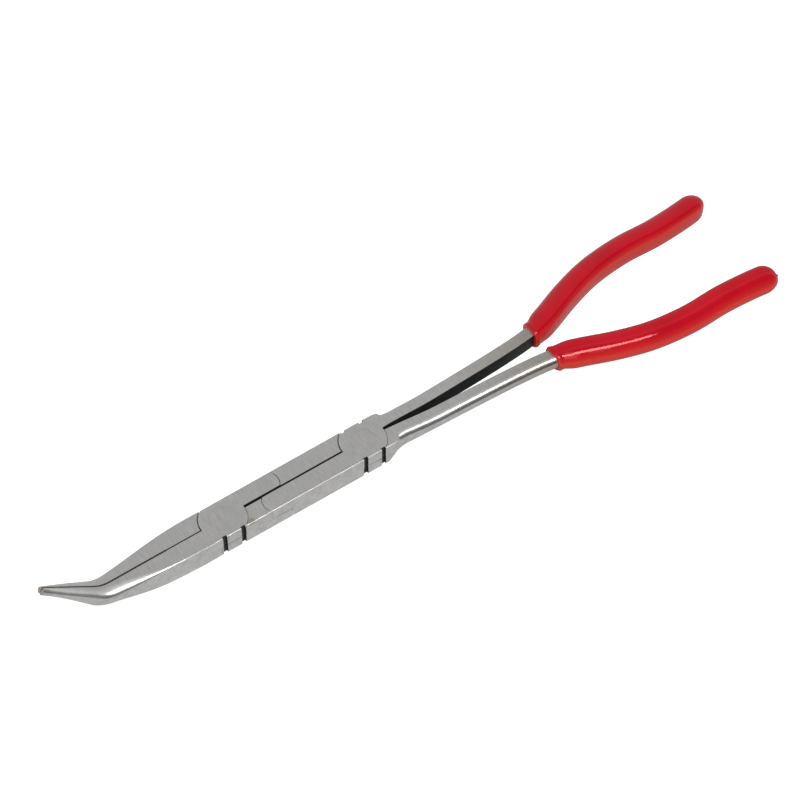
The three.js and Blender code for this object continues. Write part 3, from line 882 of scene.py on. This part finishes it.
def cross_grain_group():
    group = bpy.data.node_groups.new("cross_grain", "ShaderNodeTree")
    for name in ("Streak Width", "Streak Length"):
        group.interface.new_socket(name, in_out="INPUT", socket_type="NodeSocketFloat")
    for name in ("Streaks", "Clouds", "Tarnish"):
        group.interface.new_socket(name, in_out="OUTPUT", socket_type="NodeSocketFloat")
    into = group.nodes.new("NodeGroupInput")
    out = group.nodes.new("NodeGroupOutput")
    place = group.nodes.new("ShaderNodeTexCoord")
    across = placed(group, "ShaderNodeMath", operation="DIVIDE")
    across.inputs[0].default_value = 1 / MM
    along = placed(group, "ShaderNodeMath", operation="DIVIDE")
    along.inputs[0].default_value = 1 / MM
    scale = group.nodes.new("ShaderNodeCombineXYZ")
    stretched = placed(group, "ShaderNodeVectorMath", operation="MULTIPLY")
    fine = placed(group, "ShaderNodeTexNoise", Scale=1.0, Detail=3.0, Roughness=0.6)
    clouds = placed(group, "ShaderNodeTexNoise", Scale=90.0, Detail=2.0, Roughness=0.5)
    blotches = placed(group, "ShaderNodeTexNoise", Scale=420.0, Detail=4.0, Roughness=0.7)
    facing = group.nodes.new("ShaderNodeSeparateXYZ")
    flat = placed(group, "ShaderNodeMath", operation="ABSOLUTE")
    streaks = placed(group, "ShaderNodeMix", data_type="FLOAT")
    linked(
        group,
        (into.outputs["Streak Width"], across.inputs[1]),
        (into.outputs["Streak Length"], along.inputs[1]),
        (across.outputs[0], scale.inputs["X"]),
        (along.outputs[0], scale.inputs["Y"]),
        (along.outputs[0], scale.inputs["Z"]),
        (place.outputs["Object"], stretched.inputs[0]),
        (scale.outputs[0], stretched.inputs[1]),
        (stretched.outputs[0], fine.inputs["Vector"]),
        (place.outputs["Object"], clouds.inputs["Vector"]),
        (place.outputs["Object"], blotches.inputs["Vector"]),
        (place.outputs["Normal"], facing.inputs[0]),
        (facing.outputs["Z"], flat.inputs[0]),
        (flat.outputs[0], streaks.inputs["Factor"]),
        (blotches.outputs["Fac"], streaks.inputs[NUMBER_A]),
        (fine.outputs["Fac"], streaks.inputs[NUMBER_B]),
        (streaks.outputs[0], out.inputs["Streaks"]),
        (clouds.outputs["Fac"], out.inputs["Clouds"]),
        (tarnish_mask(group, place, blotches), out.inputs["Tarnish"]),
    )
    return group


cross_grain = cross_grain_group()
print("cross grain group with", len(cross_grain.nodes), "nodes")

# %% [markdown]
# ## Steel
# Ground steel is a metal whose highlights are drawn out along the tool, square to its streaks. That is the
# Principled shader's Anisotropic value, with its tangent along the tool's own length. The streaks tint the
# base colour and raise a very fine bump, the clouds vary the roughness. The rivets' streaks are a little
# shorter and darker than the plates', because they are another steel.

# %% Steel
GROUND_COLOURS = ((0.62, 0.615, 0.6), (0.83, 0.825, 0.81))
RIVET_COLOURS = ((0.61, 0.605, 0.59), (0.82, 0.815, 0.8))
BROWN_TARNISH = (0.36, 0.27, 0.18, 1)
GRAIN_HEIGHT = 0.006
STEEL_ROUGHNESS = (0.3, 0.38)


def steel(name, colours, streak_width, streak_length):
    material, tree, shader = new_material(name)
    shader.inputs["Metallic"].default_value = 1.0
    shader.inputs["Anisotropic"].default_value = 0.85
    grain = tree.nodes.new("ShaderNodeGroup")
    grain.node_tree = cross_grain
    grain.inputs["Streak Width"].default_value = streak_width
    grain.inputs["Streak Length"].default_value = streak_length
    raised = placed(tree, "ShaderNodeBump", Strength=0.35, Distance=GRAIN_HEIGHT * MM)
    stained = placed(tree, "ShaderNodeMix", data_type="RGBA")
    stained.inputs[COLOUR_B].default_value = BROWN_TARNISH
    length = placed(tree, "ShaderNodeCombineXYZ", X=1.0)
    turned = placed(tree, "ShaderNodeVectorTransform", vector_type="VECTOR")
    turned.convert_from, turned.convert_to = "OBJECT", "WORLD"
    linked(
        tree,
        (length.outputs[0], turned.inputs[0]),
        (turned.outputs[0], shader.inputs["Tangent"]),
        (colour_between(tree, grain.outputs["Streaks"], *colours), stained.inputs[COLOUR_A]),
        (grain.outputs["Tarnish"], stained.inputs["Factor"]),
        (stained.outputs[2], shader.inputs["Base Color"]),
        (ramped(tree, grain.outputs["Clouds"], *NOISE_SPREAD, *STEEL_ROUGHNESS), shader.inputs["Roughness"]),
        (grain.outputs["Streaks"], raised.inputs["Height"]),
        (raised.outputs["Normal"], shader.inputs["Normal"]),
    )
    return material


ground_steel = steel("ground_steel", GROUND_COLOURS, streak_width=0.3, streak_length=5.0)
rivet_steel = steel("rivet_steel", RIVET_COLOURS, streak_width=0.26, streak_length=4.0)
print(ground_steel.name, rivet_steel.name)

# %% [markdown]
# ## Black scale
# Where the grinding belt never reached, the forging still has its black scale: dull, half metallic and
# slightly cloudy. A plain dark grey would look like paint, so noise moves both its colour and its roughness.

# %% Black scale
SCALE_COLOURS = ((0.018, 0.019, 0.021), (0.042, 0.044, 0.046))
SCALE_ROUGHNESS = (0.38, 0.55)

black_scale, tree, shader = new_material("black_scale")
shader.inputs["Metallic"].default_value = 0.4
clouds = placed(tree, "ShaderNodeTexNoise", Scale=400.0, Detail=4.0, Roughness=0.6)
place = tree.nodes.new("ShaderNodeTexCoord")
linked(
    tree,
    (place.outputs["Object"], clouds.inputs["Vector"]),
    (colour_between(tree, clouds.outputs["Fac"], *SCALE_COLOURS), shader.inputs["Base Color"]),
    (ramped(tree, clouds.outputs["Fac"], *NOISE_SPREAD, *SCALE_ROUGHNESS), shader.inputs["Roughness"]),
)
print(black_scale.name)

# %% [markdown]
# ## Red vinyl
# Dipped vinyl is glossy, a little wavy, and lets some light through. Its upright sides are painted lighter and
# more orange: painted light, for the light that the floor throws on them and that comes back from inside.
# Real scattering is slow to render and doesn't export, so the base colour itself is mixed towards a lighter red
# by how upright the surface stands. The gloss has a red tint, as the vinyl's own shine has.

# %% Red vinyl
VINYL_COLOURS = ((0.48, 0.0035, 0.014), (0.56, 0.005, 0.017))
# Painted light: the lighter, more orange red that the upright sides of the grips are mixed towards.
PAINTED_SIDE_LIGHT_RED = (0.76, 0.05, 0.036, 1)
UPRIGHT_TO_FLAT = (0.3, 0.85)
SIDE_LIGHT_AT_MOST = 0.85
VINYL_ROUGHNESS = (0.07, 0.11)
WAVE_HEIGHT = 0.25

red_vinyl, tree, shader = new_material("red_vinyl")
shader.inputs["IOR"].default_value = 1.6
shader.inputs["Specular Tint"].default_value = (1.0, 0.36, 0.34, 1)
clouds = placed(tree, "ShaderNodeTexNoise", Scale=60.0, Detail=2.0, Roughness=0.5)
place = tree.nodes.new("ShaderNodeTexCoord")
waves = placed(tree, "ShaderNodeBump", Strength=0.25, Distance=WAVE_HEIGHT * MM)
facing = tree.nodes.new("ShaderNodeSeparateXYZ")
flat = placed(tree, "ShaderNodeMath", operation="ABSOLUTE")
# Painted light on the upright sides: the base colour is mixed towards the lighter red where the surface stands
# upright.
painted_side_light = placed(tree, "ShaderNodeMix", data_type="RGBA")
painted_side_light.inputs[COLOUR_B].default_value = PAINTED_SIDE_LIGHT_RED
linked(
    tree,
    (place.outputs["Object"], clouds.inputs["Vector"]),
    (place.outputs["Normal"], facing.inputs[0]),
    (facing.outputs["Z"], flat.inputs[0]),
    (ramped(tree, flat.outputs[0], *UPRIGHT_TO_FLAT, SIDE_LIGHT_AT_MOST, 0.0), painted_side_light.inputs["Factor"]),
    (colour_between(tree, clouds.outputs["Fac"], *VINYL_COLOURS), painted_side_light.inputs[COLOUR_A]),
    (painted_side_light.outputs[2], shader.inputs["Base Color"]),
    (ramped(tree, clouds.outputs["Fac"], *NOISE_SPREAD, *VINYL_ROUGHNESS), shader.inputs["Roughness"]),
    (clouds.outputs["Fac"], waves.inputs["Height"]),
    (waves.outputs["Normal"], shader.inputs["Normal"]),
)
print(red_vinyl.name)

# %% [markdown]
# ## Putting the finishes on
# Every piece is smooth shaded, with its hard edges marked by angle, and a Weighted Normal modifier keeps the
# large flats flat beside the small roundings. A lever has two finishes. Which faces are black is found
# from where they are and which way they look: rods' flat faces, slot walls and notches.

# %% Put the finishes on
STEEL_SHARP, GRIP_SHARP = 32, 50
ROD_FACE_FROM = HEEL_END - 2.5
SLOT_REACH = 0.7
SIDEWAYS = 0.8
UPRIGHT = 0.6
NOTCH_UPRIGHT = 0.5
HAIR = 0.01


def finished(piece, sharp, *materials):
    mesh = piece.data
    mesh.materials.clear()
    for material in materials:
        mesh.materials.append(material)
    for face in mesh.polygons:
        face.material_index = 0
        face.use_smooth = True
    mesh.set_sharp_from_angle(angle=math.radians(sharp))
    even = piece.modifiers.new("even_normals", "WEIGHTED_NORMAL")
    even.keep_sharp = True


def in_notch(middle, normal):
    for pivot, half_width in PIVOT_SIDES:
        deep = abs(middle.y) > half_width - NOTCH_DEPTH - HAIR and abs(normal.z) < NOTCH_UPRIGHT
        for offset in (-NOTCH_OFFSET, NOTCH_OFFSET):
            if deep and abs(middle.x - pivot.x - offset) < NOTCH_WIDTH / 2 + HAIR:
                return True
    return False


def blackened(lever):
    """Gives the second finish to the rods' flat faces and the notches, which the grinding belt never reached, and to
    the slot walls.
    """
    for face in lever.data.polygons:
        middle, normal = face.center / MM, face.normal
        inward = normal.y * middle.y < 0 and abs(normal.y) > SIDEWAYS
        rod_face = inward and middle.x > ROD_FACE_FROM
        # The slot walls are given the black finish too.
        slot_wall = abs(middle.y) < SLOT_REACH and abs(normal.z) < UPRIGHT and middle.x > JAW_PIVOT.x
        if rod_face or slot_wall or in_notch(middle, normal):
            face.material_index = 1


for lever in (left_jaw, right_jaw, left_handle, right_handle):
    finished(lever, STEEL_SHARP, ground_steel, black_scale)
    blackened(lever)
    print(lever.name, sum(face.material_index for face in lever.data.polygons), "black faces")
for grip in (left_grip, right_grip):
    finished(grip, GRIP_SHARP, red_vinyl)
for rivet in rivets.values():
    finished(rivet, STEEL_SHARP, rivet_steel)

# %% [markdown]
# ## Riding
# Each visible piece rides on the body that its CAD node rides on and stands in for that node. Parenting by
# hand would work for one pose. Riding keeps the joint right in all of them.

# %% Ride on the CAD bodies
BODY_OF = {n: body for body, nodes in frame["record"]["behaviour"]["bodies"].items() for n in nodes}
pieces = {
    "left_jaw": left_jaw, "right_jaw": right_jaw, "left_handle": left_handle, "right_handle": right_handle,
    "left_grip": left_grip, "right_grip": right_grip, **rivets,
}
for node, piece in pieces.items():
    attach(piece, BODY_OF[node])
    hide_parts(node)
print(len(pieces), "pieces ride on", sorted(set(BODY_OF.values())))

# %% [markdown]
# ## Floor
# The tool lies on a sheet of pale paper. A very bright sheet would throw light up under every edge, so the
# paper itself is a mid grey, and a glow that only the camera sees lifts it to a clean white.

# %% Floor
FLOOR_SIZE = 4.0
FLOOR_GAP = 0.1
PAPER_GREY = 0.56
PAPER_GLOW = 0.9

low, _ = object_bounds()
bm = bmesh.new()
bmesh.ops.create_grid(bm, x_segments=1, y_segments=1, size=FLOOR_SIZE)
bmesh.ops.translate(bm, vec=(0, 0, low.z - FLOOR_GAP * MM), verts=bm.verts[:])
floor = new_object("floor", bm)
paper, tree, shader = new_material("paper")
shader.inputs["Base Color"].default_value = (PAPER_GREY, PAPER_GREY, PAPER_GREY, 1)
shader.inputs["Roughness"].default_value = 0.9
shader.inputs["Specular IOR Level"].default_value = 0.1
shader.inputs["Emission Color"].default_value = (1, 1, 1, 1)
seen = tree.nodes.new("ShaderNodeLightPath")
lift = placed(tree, "ShaderNodeMath", operation="MULTIPLY")
lift.inputs[1].default_value = PAPER_GLOW
linked(tree, (seen.outputs["Is Camera Ray"], lift.inputs[0]), (lift.outputs[0], shader.inputs["Emission Strength"]))
floor.data.materials.append(paper)
print("floor at", round(low.z / MM - FLOOR_GAP, 2), "mm")

# %% [markdown]
# ## Walls
# Polished steel shows the room round it. The room here is a ramp from the near side to the far side: a dark
# near wall, which gives the lower roundings their depth, a bright band straight overhead and a pale far
# wall, which the flat tops mirror. The camera itself sees a plain pale backdrop.

# %% World
WALLS = ((0.0, 0.1), (0.3, 0.1), (0.4, 0.14), (0.5, 0.72), (0.58, 0.4), (0.7, 0.5), (1.0, 0.5))
BACKDROP = (0.95, 0.95, 0.95, 1)

world = bpy.data.worlds.new("studio")
bpy.context.scene.world = world
world.use_nodes = True
tree = world.node_tree
tree.nodes.clear()
direction = tree.nodes.new("ShaderNodeTexCoord")
parts = tree.nodes.new("ShaderNodeSeparateXYZ")
ramp = tree.nodes.new("ShaderNodeValToRGB")
while len(ramp.color_ramp.elements) < len(WALLS):
    ramp.color_ramp.elements.new(0.5)
for element, (position, level) in zip(ramp.color_ramp.elements, WALLS):
    element.position = position
    element.color = (level, level, level, 1)
walls = placed(tree, "ShaderNodeBackground", Strength=1.0)
plain = placed(tree, "ShaderNodeBackground", Color=BACKDROP, Strength=1.0)
path = tree.nodes.new("ShaderNodeLightPath")
pick = tree.nodes.new("ShaderNodeMixShader")
out = tree.nodes.new("ShaderNodeOutputWorld")
linked(
    tree,
    (direction.outputs["Generated"], parts.inputs[0]),
    (ramped(tree, parts.outputs["Y"], -1.0, 1.0), ramp.inputs["Fac"]),
    (ramp.outputs["Color"], walls.inputs["Color"]),
    (path.outputs["Is Camera Ray"], pick.inputs["Fac"]),
    (walls.outputs[0], pick.inputs[1]),
    (plain.outputs[0], pick.inputs[2]),
    (pick.outputs[0], out.inputs["Surface"]),
)
print(len(WALLS), "steps from the near wall to the far wall")

# %% [markdown]
# ## Soft boxes
# Two soft boxes light the tool. A long strip high on the near side draws the white line along the rounded
# edges and the gloss on the grips. A large fill in front of the tool opens the near sides. Both look at the
# point that the camera looks at.

# %% Soft boxes
AIM = Vector((25.34, 11.15, 4.79)) * MM


def aimed(thing, name, way, distance):
    """An object of a light or camera, at a distance from AIM along way, looking back at it."""
    holder = bpy.data.objects.new(name, thing)
    holder.location = AIM + way * distance
    holder.rotation_mode = "QUATERNION"
    holder.rotation_quaternion = way.to_track_quat("Z", "Y")
    bpy.context.scene.collection.objects.link(holder)
    return holder


def soft_box(name, towards, distance, size, power):
    light = bpy.data.lights.new(name, "AREA")
    light.shape = "RECTANGLE"
    light.size, light.size_y = size
    light.energy = power
    return aimed(light, name, Vector(towards).normalized(), distance)


strip = soft_box("high_strip", towards=(0.0, -0.46, 0.885), distance=1.2, size=(0.8, 0.22), power=7.2)
fill = soft_box("front_fill", towards=(-0.5, -0.75, 1.25), distance=1.6, size=(1.3, 1.3), power=9.0)
print("soft boxes at", [round(v, 2) for lamp in (strip, fill) for v in lamp.location])

# %% [markdown]
# ## Camera
# A long lens about a metre away, looking down at the tool from its nose's near side. The long lens keeps
# both handles the same size although one is farther off.

# %% Camera
AZIMUTH = math.radians(-34.897)
ELEVATION = math.radians(52.961)
CAMERA_DISTANCE = 1.0801

back = Vector((
    math.sin(AZIMUTH) * math.cos(ELEVATION), -math.cos(AZIMUTH) * math.cos(ELEVATION), math.sin(ELEVATION)
))
lens = bpy.data.cameras.new("camera")
lens.sensor_width = 36
lens.lens = 122.77
lens.clip_start, lens.clip_end = 0.01, 20
bpy.context.scene.camera = aimed(lens, "camera", back, CAMERA_DISTANCE)
bpy.context.scene.view_settings.view_transform = "Standard"
print("camera at", [round(v, 3) for v in bpy.context.scene.camera.location])
